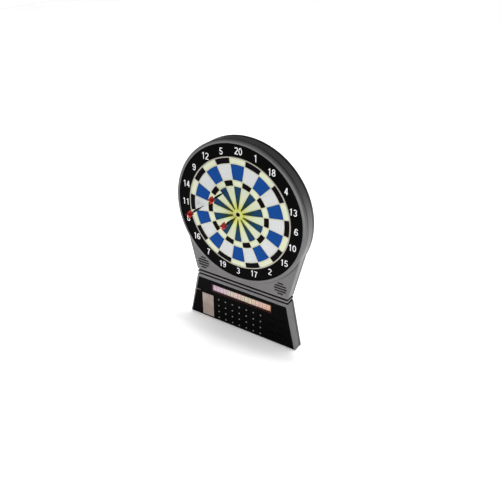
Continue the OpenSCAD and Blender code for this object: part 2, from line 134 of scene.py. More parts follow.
class Mat:
    def __init__(self, name):
        self.m = bpy.data.materials.new(name)
        self.m.use_nodes = True
        self.t = self.m.node_tree
        self.b = self.t.nodes["Principled BSDF"]
        self.co = self.t.nodes.new("ShaderNodeTexCoord")

    def node(self, kind, **props):
        n = self.t.nodes.new(kind)
        for k, v in props.items():
            setattr(n, k, v)
        return n

    def link(self, a, b):
        self.t.links.new(a, b)

    def mapping(self, scale=(1, 1, 1), rot=(0, 0, 0)):
        m = self.node("ShaderNodeMapping")
        m.inputs["Scale"].default_value = scale
        m.inputs["Rotation"].default_value = rot
        self.link(self.co.outputs["Object"], m.inputs["Vector"])
        return m.outputs["Vector"]

    def noise(self, scale, detail=3.0, rough=0.55, distort=0.0, vec=None):
        n = self.node("ShaderNodeTexNoise")
        n.inputs["Scale"].default_value = scale
        n.inputs["Detail"].default_value = detail
        n.inputs["Roughness"].default_value = rough
        n.inputs["Distortion"].default_value = distort
        self.link(vec or self.co.outputs["Object"], n.inputs["Vector"])
        return n.outputs["Fac"]

    def voronoi(self, scale, feature="F1", vec=None):
        n = self.node("ShaderNodeTexVoronoi", feature=feature)
        n.inputs["Scale"].default_value = scale
        self.link(vec or self.co.outputs["Object"], n.inputs["Vector"])
        return n.outputs["Distance"]

    def ramp(self, fac, stops):
        r = self.node("ShaderNodeValToRGB")
        e = r.color_ramp.elements
        while len(e) < len(stops):
            e.new(0.5)
        for el, (p, c) in zip(e, stops):
            el.position = p
            el.color = c if len(c) == 4 else (*c, 1)
        self.link(fac, r.inputs["Fac"])
        return r.outputs["Color"]

    def maprange(self, fac, a, b, lo=0.0, hi=1.0):
        r = self.node("ShaderNodeMapRange")
        r.inputs["From Min"].default_value = a
        r.inputs["From Max"].default_value = b
        r.inputs["To Min"].default_value = lo
        r.inputs["To Max"].default_value = hi
        self.link(fac, r.inputs["Value"])
        return r.outputs["Result"]

    def mix(self, fac, a, b, blend="MIX"):
        m = self.node("ShaderNodeMix", data_type="RGBA", blend_type=blend)
        for s, v in (("Factor", fac), ("A", a), ("B", b)):
            sock = next(i for i in m.inputs if i.name == s and (i.type == "RGBA" if s != "Factor" else i.type == "VALUE"))
            if isinstance(v, (int, float)):
                sock.default_value = v
            elif isinstance(v, tuple):
                sock.default_value = v if len(v) == 4 else (*v, 1)
            else:
                self.link(v, sock)
        return next(o for o in m.outputs if o.type == "RGBA")

    def bump(self, height, strength, distance, normal=None):
        b = self.node("ShaderNodeBump")
        b.inputs["Strength"].default_value = strength
        b.inputs["Distance"].default_value = distance
        self.link(height, b.inputs["Height"])
        if normal is not None:
            self.link(normal, b.inputs["Normal"])
        return b.outputs["Normal"]

    def edges(self, radius=0.0012, lo=0.90, hi=0.995):
        """1 on convex or concave edges, 0 on flats."""
        bev = self.node("ShaderNodeBevel", samples=4)
        bev.inputs["Radius"].default_value = radius
        geo = self.node("ShaderNodeNewGeometry")
        dot = self.node("ShaderNodeVectorMath", operation="DOT_PRODUCT")
        self.link(bev.outputs["Normal"], dot.inputs[0])
        self.link(geo.outputs["Normal"], dot.inputs[1])
        return self.maprange(dot.outputs["Value"], hi, lo)

    def set(self, **kw):
        names = {"rough": "Roughness", "metal": "Metallic", "spec": "Specular IOR Level", "ior": "IOR", "coat": "Coat Weight",
                 "coat_rough": "Coat Roughness", "trans": "Transmission Weight", "alpha": "Alpha", "emit_strength": "Emission Strength",
                 "sheen": "Sheen Weight", "sheen_rough": "Sheen Roughness", "sss": "Subsurface Weight", "aniso": "Anisotropic"}
        for k, v in kw.items():
            if k == "color":
                self.b.inputs["Base Color"].default_value = v
            elif k == "emit":
                self.b.inputs["Emission Color"].default_value = v
            else:
                self.b.inputs[names[k]].default_value = v
        return self

    def out(self, **kw):
        for k, v in kw.items():
            self.link(v, self.b.inputs[{"color": "Base Color", "rough": "Roughness", "normal": "Normal", "metal": "Metallic", "emit": "Emission Color",
                                        "alpha": "Alpha", "emit_strength": "Emission Strength"}[k]])
        return self.m


def moulded(name, col, rough=0.5, grain=1500.0, bump=0.25, dist=0.00012, var=0.10, wear=None, spec=0.3, coat=0.0, coat_rough=0.2, dust=None, recess_shade=0.0, reach=0.006, far=None):
    """Moulded plastic: fine spark-eroded grain, slow tone drift, rubbed edges and faint handling marks, with optional
    painted shade in recesses.
    """
    m = Mat(name)
    big = m.noise(6.0, 4.0, 0.6)
    mid = m.noise(48.0, 5.0, 0.65, 0.6)
    fine = m.noise(grain, 3.0, 0.6)
    cell = m.voronoi(grain * 0.62)
    dark = tuple(c * (1 - var) for c in col[:3])
    light = tuple(min(1, c * (1 + var)) for c in col[:3])
    c = m.ramp(m.maprange(big, 0.3, 0.7), [(0.0, dark), (1.0, light)])
    if far:
        # colour that changes with distance from the bull, warmer at the middle of the target and colder toward its rim:
        # (radius in mm, colour) pairs
        sep = m.node("ShaderNodeVectorMath", operation="DISTANCE")
        m.link(m.co.outputs["Object"], sep.inputs[0])
        sep.inputs[1].default_value = (0.0, YB * 0.001, BULL * 0.001)
        tone = m.ramp(m.maprange(sep.outputs["Value"], 0.0, 0.175), [(r_ / 175.0, srgb(*k_)) for r_, k_ in far])
        drift = m.ramp(m.maprange(big, 0.3, 0.7), [(0.0, (1 - var,) * 3), (1.0, (1.0,) * 3)])
        c = m.mix(1.0, tone, drift, "MULTIPLY")
    c = m.mix(m.maprange(fine, 0.45, 0.75, 0, 0.22), c, tuple(k * 0.72 for k in col[:3]))
    c = m.mix(m.maprange(mid, 0.62, 0.78, 0, 0.18), c, light)
    if wear:
        c = m.mix(m.maprange(m.edges(0.0011), 0, 1, 0, 0.55), c, wear)
    if dust:
        c = m.mix(m.maprange(m.noise(170.0, 6.0, 0.7), 0.63, 0.80, 0, 0.35), c, dust)
    # painted shade: the colour is darkened toward near-black where ambient occlusion finds creases, grooves and gaps
    # between parts
    if recess_shade:
        ao = m.node("ShaderNodeAmbientOcclusion", samples=6)
        ao.inputs["Distance"].default_value = reach
        c = m.mix(m.maprange(ao.outputs["AO"], 0.92, 0.42, 0, recess_shade), c, tuple(k * 0.12 for k in col[:3]))
    r = m.maprange(mid, 0.25, 0.8, rough - 0.07, rough + 0.12)
    n = m.bump(cell, bump * 0.5, dist)
    n = m.bump(fine, bump, dist, n)
    n = m.bump(big, 0.12, 0.0012, n)
    m.set(spec=spec, coat=coat, coat_rough=coat_rough)
    return m.out(color=c, rough=r, normal=n)


GREY = srgb(100, 98, 99)
M = {}
M["grey"] = moulded("grey_shell", GREY, rough=0.36, grain=1700, bump=0.30, var=0.07, spec=0.42, wear=srgb(126, 124, 125)[:3], dust=srgb(114, 112, 113)[:3], recess_shade=0.92, reach=0.009)
# a darker copy of the grey shell: painted shade for the rear shell's top and rounded rear edges; the battery door takes
# it too
M["dark"] = moulded("dark_shell", srgb(60, 58, 59), rough=0.42, grain=1300, bump=0.4, var=0.09, spec=0.42, wear=srgb(98, 96, 97)[:3], dust=srgb(88, 87, 88)[:3], recess_shade=0.8, reach=0.008)
M["ring"] = moulded("number_ring_black", srgb(3, 3, 3), rough=0.42, grain=2200, bump=0.16, var=0.2, spec=0.02, dust=srgb(8, 8, 8)[:3])
M["numeral"] = moulded("printed_white", srgb(238, 238, 240), rough=0.55, grain=2600, bump=0.2, var=0.04, spec=0.2, dust=srgb(190, 190, 188)[:3])
M["spider"] = moulded("spider_cream", srgb(190, 196, 90), rough=0.38, grain=2600, bump=0.12, var=0.05, spec=0.2, dust=srgb(196, 194, 140)[:3], far=[(14, (204, 212, 70)), (30, (218, 220, 120)), (60, (222, 222, 168)), (105, (226, 224, 192)), (160, (214, 211, 192)), (170, (178, 173, 162))])
M["seg_black"] = moulded("segment_black", srgb(8, 5, 12), rough=0.45, grain=2000, bump=0.2, var=0.15, spec=0.03, dust=srgb(18, 14, 22)[:3])
M["seg_cream"] = moulded("segment_cream", srgb(216, 221, 192), rough=0.42, grain=2000, bump=0.2, var=0.04, spec=0.2, dust=srgb(196, 198, 168)[:3])
M["seg_blue"] = moulded("segment_blue", srgb(26, 62, 96), rough=0.40, grain=2000, bump=0.2, var=0.08, spec=0.08, dust=srgb(44, 76, 108)[:3], far=[(18, (66, 68, 22)), (30, (48, 58, 22)), (42, (24, 54, 46)), (56, (14, 58, 82)), (86, (16, 62, 104)), (105, (2, 71, 150)), (150, (2, 71, 150))])
M["seg_white"] = moulded("segment_white", srgb(208, 214, 190), rough=0.42, grain=2000, bump=0.2, var=0.03, spec=0.2, dust=srgb(190, 192, 180)[:3], far=[(18, (208, 210, 112)), (30, (208, 213, 150)), (42, (208, 216, 178)), (80, (214, 220, 196)), (105, (214, 216, 216)), (150, (214, 216, 216))])
M["bull"] = moulded("bull_yellow", srgb(216, 216, 136), rough=0.40, grain=2000, bump=0.2, var=0.05, spec=0.2, dust=srgb(200, 200, 130)[:3])
M["gloss"] = moulded("fascia_gloss_black", srgb(2, 2, 2), rough=0.16, grain=900, bump=0.03, var=0.3, spec=0.025, dust=srgb(6, 6, 6)[:3])
M["keys"] = moulded("key_black", srgb(2, 2, 2), rough=0.36, grain=1900, bump=0.2, var=0.15, spec=0.025, dust=srgb(6, 6, 6)[:3])
M["black"] = moulded("moulded_black", srgb(18, 18, 19), rough=0.5, grain=1400, bump=0.35, var=0.15, spec=0.15, wear=srgb(40, 40, 42)[:3], dust=srgb(36, 36, 38)[:3], recess_shade=0.7)
M["rubber"] = moulded("black_rubber", srgb(20, 20, 21), rough=0.82, grain=1100, bump=0.5, var=0.15, spec=0.2, dust=srgb(60, 58, 56)[:3])
M["red"] = moulded("switch_red", srgb(176, 28, 22), rough=0.38, grain=1900, bump=0.2, var=0.08)
M["green"] = moulded("solder_mask", srgb(20, 84, 44), rough=0.35, grain=900, bump=0.3, var=0.15)
M["film"] = moulded("sensor_film", srgb(150, 176, 156), rough=0.4, grain=900, bump=0.1, var=0.1)


def metal(name, col, rough, grooves=None):
    m = Mat(name)
    a = m.noise(900, 4, 0.6, 0.2, m.mapping((1, 0.06, 1)))
    b = m.noise(40, 4, 0.6)
    c = m.mix(m.maprange(a, 0.35, 0.7, 0, 0.5), col, tuple(k * 0.6 for k in col[:3]))
    c = m.mix(m.maprange(m.edges(0.0006), 0, 1, 0, 0.5), c, tuple(min(1, k * 1.6 + 0.05) for k in col[:3]))
    m.set(metal=1.0)
    return m.out(color=c, rough=m.maprange(b, 0.3, 0.7, rough - 0.06, rough + 0.1), normal=m.bump(a, 0.25, 0.00008))


M["steel"] = metal("zinc_steel", srgb(170, 172, 176), 0.32)
M["dart_metal"] = metal("black_plated_brass", srgb(24, 23, 24), 0.34)

# hardboard
m = Mat("fibreboard")
f = m.noise(420, 6, 0.7, 0.5)
M["wood"] = m.out(color=m.ramp(f, [(0.3, srgb(92, 66, 42)), (0.7, srgb(140, 106, 70))]), rough=m.maprange(f, 0.3, 0.7, 0.6, 0.85), normal=m.bump(f, 0.4, 0.0002))

# flight foil: thin red polyester with a faint woven sheen
m = Mat("flight_red")
f = m.noise(120, 5, 0.6, 0.8)
g = m.noise(1400, 2, 0.5)
M["flight"] = m.set(spec=0.5, sss=0.0, coat=0.4, coat_rough=0.12).out(
    color=m.mix(m.maprange(f, 0.35, 0.75, 0, 0.5), srgb(206, 26, 16), srgb(150, 12, 8)), rough=m.maprange(g, 0.3, 0.7, 0.3, 0.45), normal=m.bump(g, 0.2, 0.00006))

# soft plastic point
M["point"] = moulded("dart_point", srgb(30, 30, 32), rough=0.45, grain=2500, bump=0.1, var=0.1)

# printed card: warm beige stock with ruled rows of faint pinkish print
m = Mat("game_card")
sep = m.node("ShaderNodeSeparateXYZ")
m.link(m.co.outputs["Object"], sep.inputs[0])
rows = m.node("ShaderNodeTexWave", wave_type="BANDS", bands_direction="Z")
rows.inputs["Scale"].default_value = 62.0
rows.inputs["Distortion"].default_value = 0.0
m.link(m.co.outputs["Object"], rows.inputs["Vector"])
words = m.noise(520, 2, 0.5, 0, m.mapping((1, 1, 0.12)))
ink = m.node("ShaderNodeMath", operation="MULTIPLY")
m.link(m.maprange(rows.outputs["Fac"], 0.62, 0.72), ink.inputs[0])
m.link(m.maprange(words, 0.44, 0.50), ink.inputs[1])
paper = m.noise(700, 5, 0.6)
base = m.ramp(m.maprange(m.noise(30, 4, 0.6), 0.3, 0.7), [(0, srgb(134, 122, 112)), (1, srgb(166, 156, 146))])
base = m.mix(m.maprange(paper, 0.4, 0.7, 0, 0.2), base, srgb(170, 152, 134))
M["card"] = m.set(spec=0.35).out(color=m.mix(m.maprange(ink.outputs[0], 0, 1, 0, 0.45), base, srgb(150, 104, 96)), rough=m.maprange(paper, 0.3, 0.7, 0.42, 0.6), normal=m.bump(paper, 0.2, 0.00008))

# lit digit blocks: pale rose cells behind the window
def tinted(name, dim, strength, rough):
    """Window behind which each block glows in its own pale tint, from lilac through cream and rose to amber."""
    m = Mat(name)
    sep = m.node("ShaderNodeSeparateXYZ")
    m.link(m.co.outputs["Object"], sep.inputs[0])
    pos = m.maprange(sep.outputs["X"], -0.110, 0.109)
    tints = [(0.0, (206, 184, 206)), (0.20, (212, 190, 208)), (0.29, (216, 208, 196)), (0.36, (220, 208, 190)), (0.45, (222, 196, 190)), (0.55, (212, 206, 182)),
             (0.64, (212, 208, 180)), (0.73, (222, 198, 180)), (0.82, (226, 186, 172)), (0.90, (226, 190, 172)), (1.0, (230, 186, 140))]
    c = m.ramp(pos, [(p, srgb(*(v * dim for v in t))) for p, t in tints])
    f = m.noise(260, 4, 0.6)
    c = m.mix(m.maprange(f, 0.35, 0.75, 0, 0.35), c, tuple(k * 0.8 for k in srgb(214 * dim, 190 * dim, 180 * dim)[:3]))
    m.link(c, m.b.inputs["Emission Color"])
    return m.set(emit_strength=strength, spec=0.2).out(color=c, rough=m.maprange(f, 0.3, 0.7, rough, rough + 0.15), normal=m.bump(f, 0.15, 0.0001))


M["digit_block"] = tinted("digit_block", 0.84, 0.24, 0.4)
M["digit_bar"] = tinted("digit_bar", 1.06, 0.44, 0.35)
m = Mat("display_window")
f = m.noise(400, 3, 0.6)
M["window"] = m.set(rough=0.08, spec=0.15, alpha=0.08).out(color=m.mix(m.maprange(f, 0.3, 0.7), srgb(120, 40, 34), srgb(96, 30, 26)), normal=m.bump(f, 0.05, 0.0001))
m = Mat("lamp_lens")
f = m.noise(900, 3, 0.6)
M["lamp"] = m.set(emit=srgb(235, 235, 232), emit_strength=0.02, spec=0.4).out(color=m.mix(m.maprange(f, 0.3, 0.7), srgb(126, 124, 126), srgb(98, 98, 100)), rough=m.maprange(f, 0.3, 0.7, 0.18, 0.3), normal=m.bump(f, 0.1, 0.00005))
m = Mat("red_trim")
f = m.noise(700, 3, 0.6)
M["red_trim"] = m.set(spec=0.1).out(color=m.mix(m.maprange(f, 0.3, 0.7), srgb(58, 8, 6), srgb(38, 4, 4)), rough=m.maprange(f, 0.3, 0.7, 0.3, 0.45), normal=m.bump(f, 0.1, 0.00005))
# pale grey for the painted highlight on the storage door's finger lip
M["lip"] = moulded("lip_painted_highlight", srgb(150, 148, 148), rough=0.3, grain=1900, bump=0.1, var=0.06, spec=0.5, dust=srgb(130, 130, 130)[:3])


# ---------------------------------------------------------------- mesh helpers
def new_obj(name, verts, faces, material, body, smooth_deg=30.0):
    me = bpy.data.meshes.new(name)
    me.from_pydata([tuple(v) for v in verts], [], faces)
    me.update()
    bm = bmesh.new()
    bm.from_mesh(me)
    bmesh.ops.remove_doubles(bm, verts=bm.verts, dist=1e-7)
    bmesh.ops.recalc_face_normals(bm, faces=bm.faces)
    bm.to_mesh(me)
    bm.free()
    me.materials.append(material)
    o = bpy.data.objects.new(name, me)
    bpy.context.scene.collection.objects.link(o)
    if smooth_deg:
        smooth(o, smooth_deg)
    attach(o, body)
    return o


def smooth(o, deg=30.0):
    me = o.data
    me.polygons.foreach_set("use_smooth", [True] * len(me.polygons))
    me.set_sharp_from_angle(angle=math.radians(deg))


def lathe(name, profile, material, body, n=256, axis_xz=(0.0, BULL), closed=True, smooth_deg=35.0):
    """Revolves an [r, y] profile about an axis along Y."""
    verts, faces = [], []
    k = len(profile)
    for i in range(n):
        a = 2 * math.pi * i / n
        for r, y in profile:
            verts.append(P(axis_xz[0] + r * math.sin(a), y, axis_xz[1] + r * math.cos(a)))
    for i in range(n):
        j = (i + 1) % n
        for p in range(k if closed else k - 1):
            q = (p + 1) % k
            faces.append((i * k + p, j * k + p, j * k + q, i * k + q))
    o = new_obj(name, verts, faces, material, body, smooth_deg)
    bm = bmesh.new()
    bm.from_mesh(o.data)
    bmesh.ops.dissolve_degenerate(bm, dist=1e-7, edges=bm.edges)
    bmesh.ops.recalc_face_normals(bm, faces=bm.faces)
    bm.to_mesh(o.data)
    bm.free()
    smooth(o, smooth_deg)
    return o


def weighted(o):
    """Large flats win over the narrow rounded edges beside them, so that they shade flat."""
    w = o.modifiers.new("normals", "WEIGHTED_NORMAL")
    w.mode = "FACE_AREA"
    w.weight = 100
    w.keep_sharp = True
    return o


def soften(node, width=0.6, segs=2, angle=32.0, material=None, smooth_deg=40.0):
    """Rounds a CAD node's edges with modifiers, and gives it a material."""
    o = N[node]
    if material is not None:
        o.data.materials.clear()
        o.data.materials.append(material)
    w = o.modifiers.new("weld", "WELD")
    w.merge_threshold = 1e-6
    d = o.modifiers.new("planar", "DECIMATE")
    d.decimate_type = "DISSOLVE"
    d.angle_limit = math.radians(0.4)
    if width:
        b = o.modifiers.new("round", "BEVEL")
        b.width = width * 0.001
        b.segments = segs
        b.limit_method = "ANGLE"
        b.angle_limit = math.radians(angle)
        b.use_clamp_overlap = True
        b.harden_normals = False
    o.data.polygons.foreach_set("use_smooth", [True] * len(o.data.polygons))
    s = o.modifiers.new("shade", "NODES")
    s.node_group = smooth_group(smooth_deg)
    return weighted(o)


_groups = {}


def smooth_group(deg):
    """Geometry nodes: smooth shading, with edges over an angle kept sharp."""
    if deg in _groups:
        return _groups[deg]
    g = bpy.data.node_groups.new("shade_%d" % deg, "GeometryNodeTree")
    g.interface.new_socket("Geometry", in_out="INPUT", socket_type="NodeSocketGeometry")
    g.interface.new_socket("Geometry", in_out="OUTPUT", socket_type="NodeSocketGeometry")
    i = g.nodes.new("NodeGroupInput")
    o = g.nodes.new("NodeGroupOutput")
    ang = g.nodes.new("GeometryNodeInputMeshEdgeAngle")
    cmp_ = g.nodes.new("FunctionNodeCompare")
    cmp_.data_type = "FLOAT"
    cmp_.operation = "LESS_EQUAL"
    cmp_.inputs[1].default_value = math.radians(deg)
    g.links.new(ang.outputs["Unsigned Angle"], cmp_.inputs[0])
    s1 = g.nodes.new("GeometryNodeSetShadeSmooth")
    s1.domain = "FACE"
    s1.inputs["Shade Smooth"].default_value = True
    s2 = g.nodes.new("GeometryNodeSetShadeSmooth")
    s2.domain = "EDGE"
    g.links.new(i.outputs[0], s1.inputs["Geometry"])
    g.links.new(s1.outputs[0], s2.inputs["Geometry"])
    g.links.new(cmp_.outputs[0], s2.inputs["Shade Smooth"])
    g.links.new(s2.outputs[0], o.inputs[0])
    _groups[deg] = g
    return g


def bez_corner(a, c, b, k=4):
    """k+1 points rounding the corner c between a and b."""
    pts = []
    for i in range(k + 1):
        t = i / k
        pts.append(tuple((1 - t) ** 2 * a[j] + 2 * t * (1 - t) * c[j] + t * t * b[j] for j in (0, 1)))
    return pts


def seg_loop(r0, r1, ac, g, rc=1.0, n0=8, n1=14):
    """Outline of a sector with its sides g beside the dividing lines, and corners rounded by rc."""
    def half(r):
        return math.radians(9) - math.asin(min(0.999, g / r))

    def on(r, a):
        return (r * math.sin(a), r * math.cos(a))
    A = math.radians(ac)
    rc0 = min(rc, r0 * half(r0) * 0.8)
    out = []
    # inner left corner, going clockwise: left side up to the inner arc and along it
    def corner(r, s, up):
        h = half(r)
        arc_pt = on(r, A + s * (h - rc_of(r) / r))
        rr = r + (rc_of(r) if up else -rc_of(r))
        side_pt = on(rr, A + s * half(rr))
        return arc_pt, on(r, A + s * h), side_pt

    def rc_of(r):
        return rc0 if r == r0 else rc
    a_, c_, b_ = corner(r0, -1, True)
    out += bez_corner(b_, c_, a_)
    h0 = half(r0) - rc0 / r0
    for i in range(1, n0):
        out.append(on(r0, A - h0 + 2 * h0 * i / n0))
    a_, c_, b_ = corner(r0, 1, True)
    out += bez_corner(a_, c_, b_)
    a_, c_, b_ = corner(r1, 1, False)
    out += bez_corner(b_, c_, a_)
    h1 = half(r1) - rc / r1
    for i in range(1, n1):
        out.append(on(r1, A + h1 - 2 * h1 * i / n1))
    a_, c_, b_ = corner(r1, -1, False)
    out += bez_corner(a_, c_, b_)
    return out


def bridge(verts, faces, a0, b0, n, closed=True):
    """Quads between two rings of n vertices starting at a0 and b0."""
    for i in range(n if closed else n - 1):
        j = (i + 1) % n
        faces.append((a0 + i, a0 + j, b0 + j, b0 + i))


def cdt_cap(verts, faces, loops, z_of):
    """Fills the area inside loops[0] and outside the rest. loops are (list of 2-D points, first vertex index)."""
    pts, poly, index = [], [], []
    for loop, start in loops:
        s = len(pts)
        pts += [Vector(p) for p in loop]
        index += [start + i for i in range(len(loop))]
        poly.append(list(range(s, s + len(loop))))
    v, e, f, ov, oe, of_ = geometry.delaunay_2d_cdt(pts, [], poly, 2, 1e-7)
    remap = []
    for k, vv in enumerate(v):
        if ov[k]:
            remap.append(index[ov[k][0]])
        else:
            verts.append(z_of(vv))
            remap.append(len(verts) - 1)
    for tri in f:
        faces.append(tuple(remap[i] for i in tri))


# ---------------------------------------------------------------- scoring segments, drilled with rows of dart holes
HOLE_R, HOLE_PITCH, HOLE_DEEP, HOLE_N = 0.98, 4.15, 5.5, 8


def add_hole(verts, faces, u, v, y, r=HOLE_R, deep=HOLE_DEEP, n=HOLE_N):
    """A countersunk blind hole. Returns its rim as a loop for the cap."""
    rim = []
    a0 = len(verts)
    for i in range(n):
        a = 2 * math.pi * i / n
        rim.append((u + (r + 0.32) * math.sin(a), v + (r + 0.32) * math.cos(a)))
        verts.append(board(rim[-1][0], rim[-1][1], y))
    b0 = len(verts)
    for i in range(n):
        a = 2 * math.pi * i / n
        verts.append(board(u + r * math.sin(a), v + r * math.cos(a), y + 0.45))
    c0 = len(verts)
    for i in range(n):
        a = 2 * math.pi * i / n
        verts.append(board(u + r * 0.9 * math.sin(a), v + r * 0.9 * math.cos(a), y + deep))
    bridge(verts, faces, a0, b0, n)
    bridge(verts, faces, b0, c0, n)
    faces.append(tuple(range(c0, c0 + n)))
    return rim, a0


def hole_rows(r0, r1, ac, g):
    out = []
    span = r1 - r0 - 2 * 2.0
    rows = max(1, int(span / HOLE_PITCH) + 1)
    step = span / (rows - 1) if rows > 1 else 0
    for i in range(rows):
        r = r0 + 2.0 + i * step if rows > 1 else (r0 + r1) / 2
        if r < 6:
            continue
        half = math.radians(9) - math.asin(min(0.999, g / r))
        width = 2 * half * r - 2 * 1.9
        if width < 0:
            if 2 * half * r > 3.2:
                out.append((r * math.sin(math.radians(ac)), r * math.cos(math.radians(ac))))
            continue
        k = int(width / HOLE_PITCH) + 1
        for j in range(k):
            t = 0 if k == 1 else (j / (k - 1) - 0.5) * width / r
            a = math.radians(ac) + t
            out.append((r * math.sin(a), r * math.cos(a)))
    return out


def segment_mesh(verts, faces, r0, r1, ac, avoid=None):
    g = RIB / 2 + GAP
    rc = 0.9
    loops = []
    for inset, y in ((0.42, YB), (0.14, YB + 0.12), (0.0, YB + 0.42), (0.0, YB + SEG_D)):
        lp = seg_loop(r0 + inset, r1 - inset, ac, g + inset, rc)
        s = len(verts)
        verts += [board(u, v, y) for u, v in lp]
        loops.append((lp, s))
    n = len(loops[0][0])
    for (la, sa), (lb, sb) in zip(loops, loops[1:]):
        bridge(verts, faces, sa, sb, n)
    holes = []
    for u, v in hole_rows(r0, r1, ac, g):
        if avoid and math.hypot(u - avoid[0], v - avoid[1]) < 2.9:
            continue
        holes.append(add_hole(verts, faces, u, v, YB))
    if avoid:
        holes.append(add_hole(verts, faces, avoid[0], avoid[1], YB, 1.25, 7.6, 12))
    cdt_cap(verts, faces, [loops[0]] + holes, lambda p: board(p[0], p[1], YB))
    cdt_cap(verts, faces, [loops[-1]], lambda p: board(p[0], p[1], YB + SEG_D))


def sector_of(u, v):
    return int(round(math.degrees(math.atan2(u, v)) / 18.0)) % 20


def ring(node, ring_name, first, material):
    r0, r1 = RINGS[ring_name]
    verts, faces = [], []
    for k in range(10):
        s = 2 * k + first
        avoid = None
        for u, v in DARTS:
            if r0 < math.hypot(u, v) < r1 and sector_of(u, v) == s % 20:
                avoid = (u, v)
        segment_mesh(verts, faces, r0, r1, s * 18.0, avoid)
    o = new_obj("looks_" + node, verts, faces, material, node, 28.0)
    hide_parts(node)
    return o


ring("double_black", "double", 1, M["seg_black"])
ring("double_cream", "double", 0, M["seg_cream"])
ring("outer_single_blue", "outer", 0, M["seg_blue"])
ring("outer_single_white", "outer", 1, M["seg_white"])
ring("triple_black", "triple", 1, M["seg_black"])
ring("triple_cream", "triple", 0, M["seg_cream"])
ring("inner_single_blue", "inner", 0, M["seg_blue"])
ring("inner_single_white", "inner", 1, M["seg_white"])


def circle_loop(r, n, u0=0.0, v0=0.0):
    return [(u0 + r * math.sin(2 * math.pi * i / n), v0 + r * math.cos(2 * math.pi * i / n)) for i in range(n)]


def round_cap(name, node, r_in, r_out, holes_at, material, avoid=None):
    verts, faces = [], []
    n = 96
    outer = []
    for r, y in ((r_out - 0.45, YB), (r_out - 0.13, YB + 0.13), (r_out, YB + 0.45), (r_out, YB + SEG_D)):
        s = len(verts)
        verts += [board(u, v, y) for u, v in circle_loop(r, n)]
        outer.append(s)
    for a, b in zip(outer, outer[1:]):
        bridge(verts, faces, a, b, n)
    loops = [(circle_loop(r_out - 0.45, n), outer[0])]
    back = [(circle_loop(r_out, n), outer[-1])]
    if r_in:
        inner = []
        for r, y in ((r_in + 0.45, YB), (r_in + 0.13, YB + 0.13), (r_in, YB + 0.45), (r_in, YB + SEG_D)):
            s = len(verts)
            verts += [board(u, v, y) for u, v in circle_loop(r, n)]
            inner.append(s)
        for a, b in zip(inner, inner[1:]):
            bridge(verts, faces, a, b, n)
        loops.append((circle_loop(r_in + 0.45, n), inner[0]))
        back.append((circle_loop(r_in, n), inner[-1]))
    for u, v in holes_at:
        if avoid and math.hypot(u - avoid[0], v - avoid[1]) < 2.6:
            continue
        loops.append(add_hole(verts, faces, u, v, YB, 0.95))
    if avoid:
        loops.append(add_hole(verts, faces, avoid[0], avoid[1], YB, 1.25, 7.6, 12))
    cdt_cap(verts, faces, loops, lambda p: board(p[0], p[1], YB))
    cdt_cap(verts, faces, back, lambda p: board(p[0], p[1], YB + SEG_D))
    o = new_obj(name, verts, faces, material, node, 28.0)
    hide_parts(node)
    return o


round_cap("looks_outer_bull", "outer_bull", 7.0, 14.6, circle_loop(9.2, 14) + circle_loop(12.6, 20), M["bull"], DARTS[2])
round_cap("looks_inner_bull", "inner_bull", 0, 6.6, [(0, 0)] + circle_loop(3.8, 6), M["seg_black"])

# ---------------------------------------------------------------- spider: one moulded lattice with rounded walls
verts, faces = [], []
levels = ((0.55, YSP), (0.2, YSP + 0.14), (0.0, YSP + 0.55), (0.0, YB + 7.0))
front, back = [], []
NR = 480
outer = []
for inset, y in ((0.9, YSP), (0.35, YSP + 0.2), (0.0, YSP + 0.9), (0.0, YB + 7.0)):
    s = len(verts)
    lp = circle_loop(RIM - inset, NR)
    verts += [board(u, v, y) for u, v in lp]
    outer.append((lp, s))
for (la, sa), (lb, sb) in zip(outer, outer[1:]):
    bridge(verts, faces, sa, sb, NR)
front.append(outer[0])
back.append(outer[-1])
win = [seg for seg in RINGS.values()]
for k in range(20):
    for r0, r1 in win:
        lv = []
        for grow, y in levels:
            lp = seg_loop(r0 - GAP - grow, r1 + GAP + grow, k * 18.0, RIB / 2 - grow, 1.1)
            s = len(verts)
            verts += [board(u, v, y) for u, v in lp]
            lv.append((lp, s))
        for (la, sa), (lb, sb) in zip(lv, lv[1:]):
            bridge(verts, faces, sa, sb, len(la))
        front.append(lv[0])
        back.append(lv[-1])
lv = []
for grow, y in levels:
    lp = circle_loop(15.0 + grow, 96)
    s = len(verts)
    verts += [board(u, v, y) for u, v in lp]
    lv.append((lp, s))
for (la, sa), (lb, sb) in zip(lv, lv[1:]):
    bridge(verts, faces, sa, sb, 96)
front.append(lv[0])
back.append(lv[-1])
cdt_cap(verts, faces, front, lambda p: board(p[0], p[1], YSP))
cdt_cap(verts, faces, back, lambda p: board(p[0], p[1], YB + 7.0))
spider = new_obj("looks_spider", verts, faces, M["spider"], "cabinet", 35.0)
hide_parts("spider_grid")
# the spider's mounting flange, behind the number ring
lathe("spider_flange", [(169.4, YB + 7.2), (172.0, YB + 7.2), (172.0, YB + 2.7), (176, YB + 2.7), (176, YF - 2.5), (200, YF - 2.5), (200, YF), (169.4, YF)],
      M["spider"], "cabinet", 240)

# ---------------------------------------------------------------- number ring, numerals, bezel
lathe_ring = lathe("looks_number_ring", [(172.3, YB + 0.8), (172.6, YB + 0.5), (209.4, YB + 0.5), (209.8, YB + 0.9), (209.8, YB + 2.7), (172.3, YB + 2.7)], M["ring"], "cabinet", 360)
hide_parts("number_ring")

NUMERALS = {20: (0.02, 1.192), 1: (0.362, 1.135), 18: (0.677, 0.957), 4: (0.966, 0.687), 13: (1.108, 0.338), 6: (1.182, -0.01), 10: (1.118, -0.338),
            15: (0.968, -0.686), 2: (0.682, -0.963), 17: (0.340, -1.123), 3: (-0.006, -1.172), 19: (-0.364, -1.135), 7: (-0.686, -0.966), 16: (-0.950, -0.700),
            8: (-1.13, -0.37), 11: (-1.170, -0.026), 14: (-1.136, 0.338), 9: (-0.938, 0.701), 12: (-0.683, 0.968), 5: (-0.338, 1.124)}
H_ = 0.058          # half stroke


